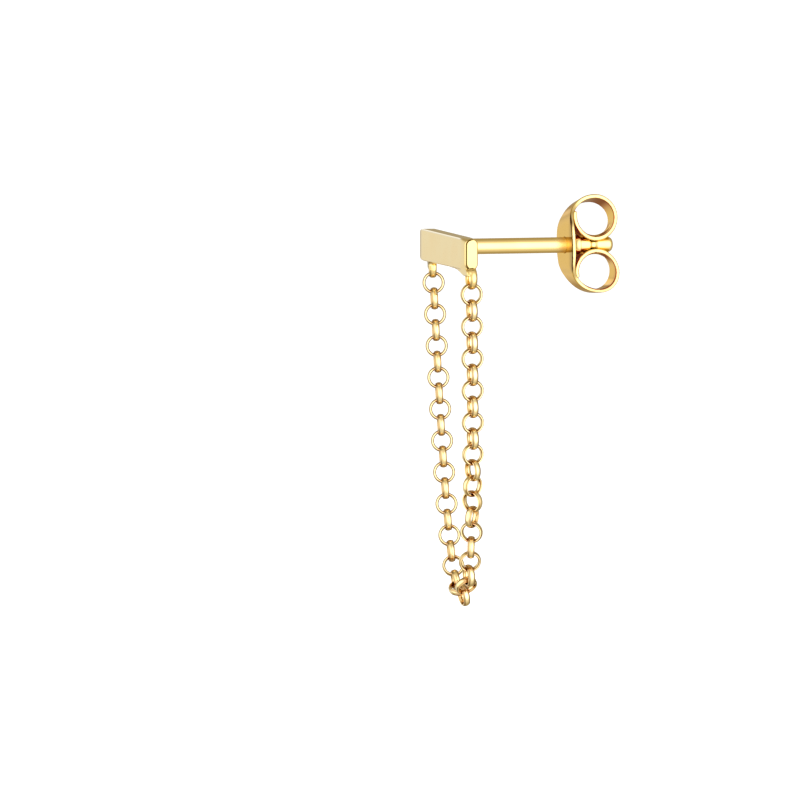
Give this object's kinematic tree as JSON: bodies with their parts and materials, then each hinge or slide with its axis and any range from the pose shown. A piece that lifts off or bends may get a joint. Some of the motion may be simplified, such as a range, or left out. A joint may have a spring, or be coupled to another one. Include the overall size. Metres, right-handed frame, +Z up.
{
  "type": "chain earring",
  "caption": "Polished gold bar stud earring with a fine rolo chain hanging in a loop under the bar, a straight post and a sliding butterfly back.",
  "frame": {"origin": "where the post leaves the back of the bar, which is where the earring is pinned on the ear", "axes": "+X along the bar, +Y along the post from the bar towards its tip, +Z up, with the chain hanging towards -Z"},
  "size_m": [0.0103, 0.0105, 0.0233],
  "materials": {
    "stud_gold": "polished yellow gold plating",
    "back_gold": "polished yellow gold plating",
    "chain_gold": "polished yellow gold plating"
  },
  "bodies": {
    "stud": {"bar_stud": "stud_gold", "link_01": "chain_gold", "link_02": "chain_gold", "link_03": "chain_gold", "link_04": "chain_gold", "link_05": "chain_gold", "link_06": "chain_gold", "link_07": "chain_gold", "link_08": "chain_gold", "link_09": "chain_gold", "link_10": "chain_gold", "link_11": "chain_gold", "link_12": "chain_gold", "link_13": "chain_gold", "link_14": "chain_gold", "link_15": "chain_gold", "link_16": "chain_gold", "link_17": "chain_gold", "link_18": "chain_gold", "link_19": "chain_gold", "link_20": "chain_gold", "link_21": "chain_gold", "link_22": "chain_gold", "link_23": "chain_gold", "link_24": "chain_gold", "link_25": "chain_gold", "link_26": "chain_gold", "link_27": "chain_gold", "link_28": "chain_gold", "link_29": "chain_gold", "link_30": "chain_gold", "link_31": "chain_gold", "link_32": "chain_gold", "link_33": "chain_gold", "link_34": "chain_gold", "link_35": "chain_gold", "link_36": "chain_gold", "link_37": "chain_gold", "link_38": "chain_gold", "link_39": "chain_gold", "link_40": "chain_gold", "link_41": "chain_gold", "link_42": "chain_gold"},
    "back": {"butterfly_back": "back_gold"}
  },
  "joints": [
    {"name": "back_slide", "type": "slide", "parent": "stud", "child": "back", "axis": [0, 1, 0], "range_m": [-0.0064, 0.0032]}
  ]
}
